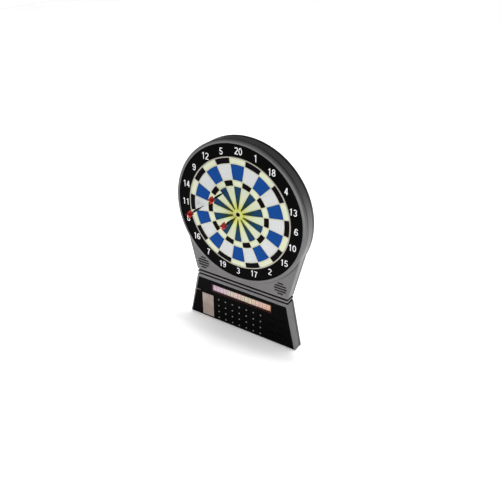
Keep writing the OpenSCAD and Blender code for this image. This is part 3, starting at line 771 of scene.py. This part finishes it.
def arc(cx, cy, rx, ry, a0, a1, n=22):
    return [(cx + rx * math.cos(math.radians(a0 + (a1 - a0) * i / n)), cy + ry * math.sin(math.radians(a0 + (a1 - a0) * i / n))) for i in range(n + 1)]


SIX = [arc(0, 0.30, 0.212, 0.232, 0, 360, 40), [(-0.212, 0.30), (-0.212, 0.46), (-0.190, 0.66), (-0.135, 0.82), (-0.05, 0.915), (0.03, 0.932), (0.11, 0.905), (0.165, 0.84), (0.188, 0.76)]]
GLYPHS = {
    "0": [arc(0, 0.5, 0.212, 0.432, 0, 360, 48)],
    "1": [[(0.06, 0.0), (0.06, 1.0)], [(0.06, 0.93), (0.01, 0.865), (-0.06, 0.81), (-0.14, 0.775)]],
    "2": [arc(0, 0.712, 0.21, 0.22, 168, -32, 22) + [(0.12, 0.50), (-0.03, 0.34), (-0.15, 0.19), (-0.20, 0.068), (0.25, 0.068)]],
    "3": [arc(-0.01, 0.722, 0.188, 0.21, 158, -90, 22), arc(-0.01, 0.288, 0.212, 0.222, 90, -158, 24)],
    "4": [[(0.10, 0.0), (0.10, 1.0)], [(0.085, 0.955), (-0.215, 0.30)], [(-0.262, 0.285), (0.262, 0.285)]],
    "5": [[(0.215, 0.932), (-0.125, 0.932), (-0.178, 0.50)] + arc(-0.01, 0.31, 0.218, 0.242, 128, -156, 26)],
    "6": SIX,
    "7": [[(-0.235, 0.930), (0.218, 0.930), (0.10, 0.72), (0.01, 0.46), (-0.035, 0.24), (-0.05, 0.0)]],
    "8": [arc(0, 0.735, 0.172, 0.198, 0, 360, 40), arc(0, 0.288, 0.212, 0.222, 0, 360, 40)],
    "9": [[(-x, 1 - y) for x, y in line] for line in SIX]}


def ribbon(line, h):
    """Outline quads of a stroke of half width h along a polyline, mitred."""
    closed = (Vector(line[0]) - Vector(line[-1])).length < 1e-6
    pts = line[:-1] if closed else line
    n = len(pts)
    left, right = [], []
    for i in range(n):
        q = Vector(pts[i])
        p = Vector(pts[i - 1]) if (i or closed) else None
        r = Vector(pts[(i + 1) % n]) if (i < n - 1 or closed) else None
        e1 = (q - p).normalized() if p is not None else (r - q).normalized()
        e2 = (r - q).normalized() if r is not None else e1
        n1, n2 = Vector((-e1.y, e1.x)), Vector((-e2.y, e2.x))
        m_ = (n1 + n2) * (1 / max(0.35, 1 + n1.dot(n2)))
        left.append(q + m_ * h)
        right.append(q - m_ * h)
    quads = []
    for i in range(n if closed else n - 1):
        j = (i + 1) % n
        quads.append([left[i], right[i], right[j], left[j]])
    return quads


def inside(p, poly):
    """True when p lies in a convex outline that runs counter-clockwise."""
    return all((b.x - a.x) * (p.y - a.y) - (b.y - a.y) * (p.x - a.x) >= -1e-9 for a, b in zip(poly, poly[1:] + poly[:1]))


NUM_H, NUM_ADV = 20.6, 0.635
verts, faces = [], []
for num in ORDER:
    cu, cv = (c * 160.0 for c in NUMERALS[num])
    text = str(num)
    quads = []
    for k, ch in enumerate(text):
        dx = (k - (len(text) - 1) / 2) * NUM_ADV
        for line in GLYPHS[ch]:
            for q in ribbon(line, H_):
                quads.append([Vector((cu + (p.x + dx) * NUM_H, cv + (p.y - 0.5) * NUM_H)) for p in q])
    pts, polys = [], []
    for q in quads:
        area2 = sum(a_.x * b_.y - b_.x * a_.y for a_, b_ in zip(q, q[1:] + q[:1]))
        if area2 < 0:
            q = q[::-1]
        polys.append(list(range(len(pts), len(pts) + 4)))
        pts += q
    v, e, f, ov, oe, of_ = geometry.delaunay_2d_cdt(pts, [], polys, 0, 1e-4)
    tris = []
    for t in f:
        c_ = (v[t[0]] + v[t[1]] + v[t[2]]) / 3
        if any(inside(c_, [pts[i] for i in q]) for q in polys):
            a_, b_, d_ = v[t[0]], v[t[1]], v[t[2]]
            tris.append(t if (b_ - a_).cross(d_ - a_) > 0 else [t[0], t[2], t[1]])
    top, low = len(verts), len(verts) + len(v)
    verts += [board(p.x, p.y, YB + 0.30) for p in v]
    verts += [board(p.x, p.y, YB + 0.55) for p in v]
    seen = {}
    for t in tris:
        faces.append(tuple(top + i for i in t))
        for a_, b_ in zip(t, list(t[1:]) + [t[0]]):
            seen[(a_, b_)] = True
    for a_, b_ in seen:
        if (b_, a_) not in seen:
            faces.append((top + a_, low + a_, low + b_, top + b_))
num_obj = new_obj("printed_numerals", verts, faces, M["numeral"], "cabinet", 30)

prof = [(206, YF), (206, YB + 2.7), (210, YB + 2.7), (210, YB - 0.6), (210.3, YB - 1.0), (213.4, YB - 1.0)]
for i in range(0, 13):
    a = math.radians(90 * i / 12)
    prof.append((213.4 + 6.6 * math.sin(a), YB + 5.0 - 6.0 * math.cos(a)))
prof += [(220, YF - 3.4), (219.8, YF - 3.0), (219.3, YF - 2.75), (216.2, YF - 2.6), (216.0, YF - 2.4), (216.0, YF)]
bez = lathe("looks_bezel_ring", prof, M["grey"], "cabinet", 360, smooth_deg=24)
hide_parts("bezel_ring")

# ---------------------------------------------------------------- CAD nodes that keep their own shape
def hw(z):
    base, waist, neck = 198.5, 164.3, 200.7
    if z < Z1:
        return base + (waist - base) * z / Z1
    if z < Z2:
        return waist
    return waist + (neck - waist) * (z - Z2) / (322 - Z2)


def inset(loop, d):
    """Moves a closed loop inward by d with mitred corners."""
    area2 = sum(a[0] * b[1] - b[0] * a[1] for a, b in zip(loop, loop[1:] + loop[:1]))
    sg = 1 if area2 > 0 else -1
    out = []
    n = len(loop)
    for i in range(n):
        p, q, r = Vector(loop[i - 1]), Vector(loop[i]), Vector(loop[(i + 1) % n])
        e1, e2 = (q - p).normalized(), (r - q).normalized()
        n1, n2 = Vector((-e1.y, e1.x)) * sg, Vector((-e2.y, e2.x)) * sg
        out.append(tuple(q + (n1 + n2) * (d / (1 + n1.dot(n2)))))
    return out


def rounded(loop, r, k=3):
    """Rounds the corners of a polygon that turn by more than 20 degrees."""
    out = []
    n = len(loop)
    for i in range(n):
        p, q, s_ = Vector(loop[i - 1]), Vector(loop[i]), Vector(loop[(i + 1) % n])
        e1, e2 = (q - p), (s_ - q)
        if e1.angle(e2) < math.radians(20):
            out.append(tuple(q))
            continue
        d = min(r, e1.length * 0.45, e2.length * 0.45)
        out += bez_corner(tuple(q - e1.normalized() * d), tuple(q), tuple(q + e2.normalized() * d), k)
    return out


def plain(p, y):
    return P(p[0], y, p[1])


def shell_piece(name, loop, holes, edge, material, wall=2.5, back=YSPLIT):
    """A hollow moulding: rounded front edge, side wall, open back, with holes through its face."""
    verts, faces = [], []
    levels = [(edge + 0.8, YF)] + [(edge - edge * math.sin(math.radians(a)), YF + edge - edge * math.cos(math.radians(a))) for a in (0, 22.5, 45, 67.5, 90)]
    levels += [(0, back - 1.5), (0.45, back - 1.05), (1.05, back - 0.35), (1.3, back - 0.02), (wall, back - 0.02), (wall, YF + wall)]
    ids = []
    for d, y in levels:
        lp = inset(loop, d) if d else loop
        ids.append((lp, len(verts)))
        verts += [plain(p, y) for p in lp]
    for (la, sa), (lb, sb) in zip(ids, ids[1:]):
        bridge(verts, faces, sa, sb, len(la))
    f_loops, b_loops = [ids[0]], [ids[-1]]
    for h in holes:
        hl = []
        for grow, y in ((0.3, YF), (0.0, YF + 0.3), (0.0, YF + wall)):
            lp = inset(h, -grow) if grow else h
            hl.append((lp, len(verts)))
            verts += [plain(p, y) for p in lp]
        for (la, sa), (lb, sb) in zip(hl, hl[1:]):
            bridge(verts, faces, sa, sb, len(la))
        f_loops.append(hl[0])
        b_loops.append(hl[-1])
    cdt_cap(verts, faces, f_loops, lambda p: plain(p, YF))
    cdt_cap(verts, faces, b_loops, lambda p: plain(p, YF + wall))
    return weighted(new_obj(name, verts, faces, material, "cabinet", 32.0))


def slot_loop(x, z, w, h, n=6):
    r = h / 2
    pts = []
    for sx, a0 in ((1, -90), (-1, 90)):
        for i in range(n + 1):
            a = math.radians(a0 + 180 * i / n)
            pts.append((x + sx * (w / 2 - r) + r * math.cos(a), z + r * math.sin(a)))
    return pts


GW = 2.5
head = [(-hw(Z2 + GW), Z2 + GW), (hw(Z2 + GW), Z2 + GW)]
head += [(hw(z), z) for z in (200, 230, 260, 290)]
t0 = math.degrees(math.atan2(-90, 200.7))
for i in range(181):
    t = math.radians(t0 + (180 - 2 * t0) * i / 180)
    head.append((220 * math.cos(t), BULL + 220 * math.sin(t)))
head += [(-hw(z), z) for z in (290, 260, 230, 200)]
grille_slots = []
for sx in (-139, 139):
    for i in range(-2, 3):
        w = 2 * math.sqrt(21.8 ** 2 - (abs(i) * 8.8 + 1.9) ** 2)
        grille_slots.append(slot_loop(sx, 204 + i * 8.8, w + 0.6, 4.7))
opening = [(182 * math.cos(2 * math.pi * i / 120), BULL + 182 * math.sin(2 * math.pi * i / 120)) for i in range(120)]
fc = shell_piece("looks_head_shell", rounded(head, 3.4), grille_slots + [opening], 2.2, M["grey"])
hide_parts("front_cabinet")
belt = [(-hw(165), Z1 + GW), (hw(165), Z1 + GW), (hw(165), Z2 - GW), (-hw(165), Z2 - GW)]
shell_piece("looks_waist_belt", rounded(belt, 2.4), [], 1.3, M["grey"])
FL = lambda z: -hw(z) + 3.5 + 3.5 * (z - 3.0) / 142.6
seat = [(FL(3) - 0.2, 3.0), (hw(3) - 6.8, 3.0), (hw(145.6) - 6.8, 145.6), (FL(145.6) - 0.2, 145.6)]
console = [(-hw(1.5), 1.5), (hw(1.5), 1.5), (hw(Z1 - GW), Z1 - GW), (-hw(Z1 - GW), Z1 - GW)]
con = shell_piece("looks_console_shell", rounded(console, 2.5), [seat], 1.0, M["grey"])
# a black block behind the gaps around the waist belt: painted shade that keeps the waist grooves dark
verts, faces = [], []
s0 = len(verts)
verts += [P(x, y, z) for x in (-156.3, 156.3) for y in (YF + 8, YSPLIT - 0.05) for z in (Z1 - GW - 3, Z2 + GW + 3)]
faces += [(0, 1, 3, 2), (4, 6, 7, 5), (0, 4, 5, 1), (2, 3, 7, 6), (0, 2, 6, 4), (1, 5, 7, 3)]
new_obj("looks_waist_shade_block", verts, faces, M["black"], "cabinet", 20)

# rear shell in the darkened copy of the grey: painted shade
soften("rear_cabinet", 0.8, 2, 30, M["dark"], 35)
soften("console_fascia", 0.25, 2, 40, M["gloss"])
soften("storage_door", 0.3, 2, 40, M["gloss"])
soften("storage_tray", 0.3, 1, 40, M["black"])
soften("storage_hinge_pin", 0, 1, 40, M["steel"])
soften("game_card", 0.1, 1, 40, M["card"])
soften("display_module", 0.2, 1, 40, M["digit_block"])
soften("display_lens", 0.2, 2, 40, M["window"])
for k in ("key_start", "key_game", "key_option", "key_player", "key_hold", "key_sound"):
    soften(k, 0.8, 3, 40, M["keys"])
soften("key_mat", 0.2, 1, 40, M["rubber"])
soften("main_pcb", 0.1, 1, 40, M["green"])
for k in ("speaker_left", "speaker_right", "battery_tray", "switch_body", "dc_jack"):
    soften(k, 0.3, 1, 40, M["black"])
soften("batteries", 0.3, 2, 40, M["steel"])
soften("battery_contacts", 0, 1, 40, M["steel"])
soften("battery_door", 0.4, 2, 40, M["dark"])
soften("power_switch", 0.4, 2, 40, M["red"])
soften("case_screws", 0.15, 2, 40, M["steel"])
soften("target_screws", 0.15, 1, 40, M["steel"])
soften("rubber_feet", 0.3, 2, 40, M["rubber"])
soften("brace_pad", 0.3, 2, 40, M["rubber"])
soften("brace_wing", 0.7, 2, 40, M["black"])
soften("brace_hinge_pin", 0.2, 2, 40, M["steel"])
soften("rubber_mat", 0, 1, 40, M["rubber"])
soften("sensor_matrix", 0, 1, 40, M["film"])
soften("backing_board", 0, 1, 40, M["wood"])

# ---------------------------------------------------------------- lamps: domed 5 mm lenses
verts, faces = [], []
for i in range(7):
    for j in range(4):
        x, z = -84.8 + 26.2 * i, 82.4 - 22.9 * j
        rings = [(2.5, YF + 8.4), (2.5, YF + 0.0), (2.45, YF - 0.5), (2.1, YF - 1.0), (1.3, YF - 1.28), (0.5, YF - 1.3)]
        first = None
        for r, y in rings:
            s = len(verts)
            verts += [P(x + r * math.sin(2 * math.pi * k / 24), y, z + r * math.cos(2 * math.pi * k / 24)) for k in range(24)]
            if first is not None:
                bridge(verts, faces, first, s, 24)
            else:
                faces.append(tuple(range(s, s + 24)))
            first = s
        faces.append(tuple(range(first, first + 24)))
lamps = new_obj("looks_lamps", verts, faces, M["lamp"], "cabinet", 40)
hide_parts("cricket_lamps")


# ---------------------------------------------------------------- seven-bar digits in the display cells
def box(verts, faces, x0, x1, y0, y1, z0, z1):
    s = len(verts)
    verts += [P(x, y, z) for x in (x0, x1) for y in (y0, y1) for z in (z0, z1)]
    faces += [tuple(s + i for i in f) for f in ((0, 1, 3, 2), (4, 6, 7, 5), (0, 4, 5, 1), (2, 3, 7, 6), (0, 2, 6, 4), (1, 5, 7, 3))]


def bar(verts, faces, cx, cz, length, width, vertical, y0, y1):
    """A six-sided bar of a digit."""
    l, w = length / 2, width / 2
    pts = [(-l, 0), (-l + w, w), (l - w, w), (l, 0), (l - w, -w), (-l + w, -w)]
    if vertical:
        pts = [(b, a) for a, b in pts]
    s = len(verts)
    lean = 0.10
    for y in (y0, y1):
        verts += [P(cx + px + (cz + pz - 120.4) * lean, y, cz + pz) for px, pz in pts]
    n = 6
    bridge(verts, faces, s, s + n, n)
    faces.append(tuple(range(s, s + n)))
    faces.append(tuple(range(s + n, s + 2 * n)))


verts, faces = [], []
SEVEN = {0: "abcdef", 1: "bc", 2: "abged", 3: "abgcd", 4: "fgbc", 5: "afgcd", 6: "afgedc", 7: "abc", 8: "abcdefg", 9: "abcfgd"}
shown = [3, 0, 1, 5, 0, 1, 3, 0, 1, 2, 7, 1, 5, 0, 1, 8]
for i in range(16):
    cx = -105.8 + i * 13.2 + 6.2
    for sname in "abcdefg":
        if sname not in SEVEN[8]:
            continue
        y0 = YF + 1.55
        L, Wd, H = 6.2, 1.5, 7.2
        spec = {"a": (0, H, False), "g": (0, 0, False), "d": (0, -H, False), "f": (-L / 2 - 0.3, H / 2, True), "b": (L / 2 + 0.3, H / 2, True),
                "e": (-L / 2 - 0.3, -H / 2, True), "c": (L / 2 + 0.3, -H / 2, True)}[sname]
        bar(verts, faces, cx + spec[0], 120.4 + spec[1], (L if not spec[2] else H - 0.4), Wd, spec[2], y0, YF + 1.72)
digits = new_obj("display_digits", verts, faces, M["digit_bar"], "cabinet", 20)

# thin red surround of the display window
verts, faces = [], []
for x0, x1, z0, z1 in ((-111.5, 110.5, 132.3, 134.0), (-111.5, 110.5, 104.6, 108.5), (-111.5, -108.3, 108.5, 132.3), (108.3, 110.5, 108.5, 132.3)):
    box(verts, faces, x0, x1, YF - 0.28, YF - 0.15, z0, z1)
new_obj("display_surround", verts, faces, M["red_trim"], "cabinet", 20)
# painted highlight: a pale strip along the top of the storage door's finger lip, where the ledge catches the light
verts, faces = [], []
box(verts, faces, FL(98.2) + 1.2, -153.6, YF - 4.45, YF - 0.4, 98.2, 99.25)
new_obj("door_lip_highlight_strip", verts, faces, M["lip"], "storage_door", 20)


# ---------------------------------------------------------------- darts
def dart(i):
    u, v = DARTS[i]
    body = "dart%d" % (i + 1)
    ax = (u, BULL + v)
    Y = lambda d: YB - d
    tip = lathe(body + "_point", [(0.02, Y(-7)), (0.45, Y(-6.7)), (0.8, Y(-5.4)), (1.1, Y(-3.6)), (1.15, Y(0)), (1.15, Y(9.5)), (1.5, Y(11.5)), (2.2, Y(14.5)), (2.25, Y(15)), (2.25, Y(20)), (0.02, Y(20))],
                M["point"], body, 32, ax, smooth_deg=40)
    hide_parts(body + "_tip")
    prof = [(0.02, Y(20)), (2.3, Y(20)), (2.7, Y(20.3)), (3.05, Y(21.4)), (3.1, Y(23))]
    for k in range(12):
        d = 23.4 + 1.45 * k
        prof += [(3.1, Y(d)), (2.78, Y(d + 0.25)), (2.78, Y(d + 0.75)), (3.1, Y(d + 1.0))]
    prof += [(3.1, Y(42)), (2.9, Y(43)), (2.3, Y(45)), (2.0, Y(46)), (2.3, Y(46.4)), (2.3, Y(47.2)), (1.9, Y(47.6)), (1.75, Y(51.6)), (1.9, Y(52.4)), (2.3, Y(52.9)), (2.3, Y(53.6)), (0.02, Y(53.6))]
    br = lathe(body + "_body", prof, M["dart_metal"], body, 48, ax, smooth_deg=25)
    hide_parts(body + "_barrel")
    # flight: four wings, gently curved
    verts, faces = [], []
    NL, NWD = 14, 10
    d0, d1 = DART_OUT - 18.8, DART_OUT
    for w in range(4):
        a = math.radians(90 * w)
        ca, sa = math.cos(a), math.sin(a)
        grid = []
        for p in range(NL + 1):
            t = p / NL
            d = d0 + (d1 - d0) * t
            # half width along the flight
            if t < 0.30:
                hwid = 2.2 + (FLIGHT_W / 2 - 2.2) * math.sin(math.radians(90) * (t / 0.30)) ** 0.9
            elif t < 0.85:
                hwid = FLIGHT_W / 2
            else:
                s = (t - 0.85) / 0.15
                hwid = FLIGHT_W / 2 - 3.2 * s * s
            row = []
            for q in range(NWD + 1):
                f = q / NWD
                rad = 0.25 + (hwid - 0.25) * f
                curl = 0.55 * math.sin(math.pi * f) * math.sin(math.pi * min(1, t * 1.1)) * (1 if w % 2 else -1) + 0.25 * f * f
                row.append((rad, curl, d))
            grid.append(row)
        for side in (-1, 1):
            base = len(verts)
            for row in grid:
                for rad, curl, d in row:
                    th = 0.16 * side
                    x = rad * ca - (curl + th) * sa
                    z = rad * sa + (curl + th) * ca
                    verts.append(P(u + x, Y(d), BULL + v + z))
            for p in range(NL):
                for q in range(NWD):
                    i0 = base + p * (NWD + 1) + q
                    faces.append((i0, i0 + 1, i0 + NWD + 2, i0 + NWD + 1))
            if side == -1:
                base0 = base
        # close the rim
        W1 = NWD + 1
        rim = [q for q in range(W1)] + [p * W1 + NWD for p in range(1, NL + 1)] + [NL * W1 + q for q in range(NWD - 1, -1, -1)] + [p * W1 for p in range(NL - 1, 0, -1)]
        for a_, b_ in zip(rim, rim[1:] + rim[:1]):
            faces.append((base0 + a_, base0 + b_, base + b_, base + a_))
    fl = new_obj(body + "_wings", verts, faces, M["flight"], body, 40)
    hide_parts(body + "_flight")


for i in range(3):
    dart(i)

# ---------------------------------------------------------------- floor
m = Mat("floor_paper")
f = m.noise(2.0, 4, 0.6)
floor.data.materials.append(m.set(spec=0.1).out(color=m.mix(m.maprange(f, 0.3, 0.7), (0.93, 0.93, 0.935), (0.90, 0.90, 0.905)), rough=m.maprange(f, 0.3, 0.7, 0.85, 0.95)))
